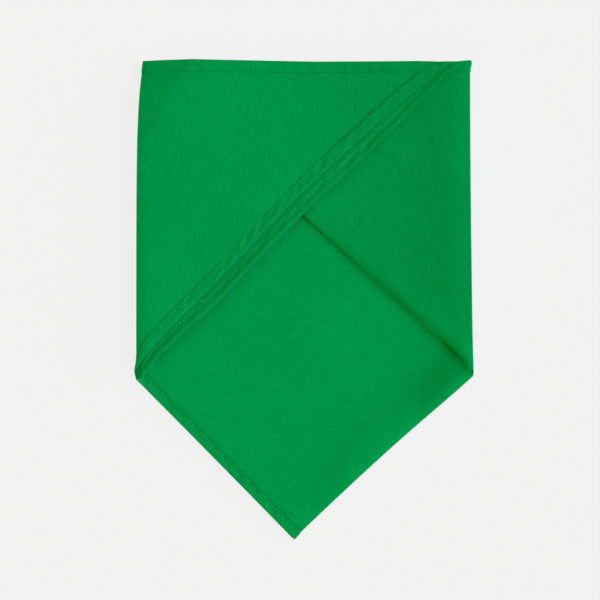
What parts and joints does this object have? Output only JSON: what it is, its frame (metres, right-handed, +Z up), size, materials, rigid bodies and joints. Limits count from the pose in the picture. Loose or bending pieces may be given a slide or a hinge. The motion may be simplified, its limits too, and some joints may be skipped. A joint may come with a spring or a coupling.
{
  "type": "neckerchief",
  "caption": "Plain triangular neckerchief with narrow sewn hems, folded flat into a pentagon-shaped packet with the pointed ends turned over the corner end.",
  "frame": {"origin": "centre of the outline, on the surface that the packet lies on", "axes": "+Y from the lower tip to the straight top edge, +X to the right of the person looking down with the top edge away from them, +Z up through the layers"},
  "size_m": [0.2428, 0.3444, 0.0097],
  "materials": {
    "cloth": "matte plain-weave polycotton, fine slubs along the threads",
    "hem_cloth": "the same cloth turned double and stitched"
  },
  "bodies": {
    "root": {"cloth": "cloth", "hem_long": "hem_cloth", "hem_leg_back": "hem_cloth", "hem_leg_front": "hem_cloth"}
  },
  "joints": []
}
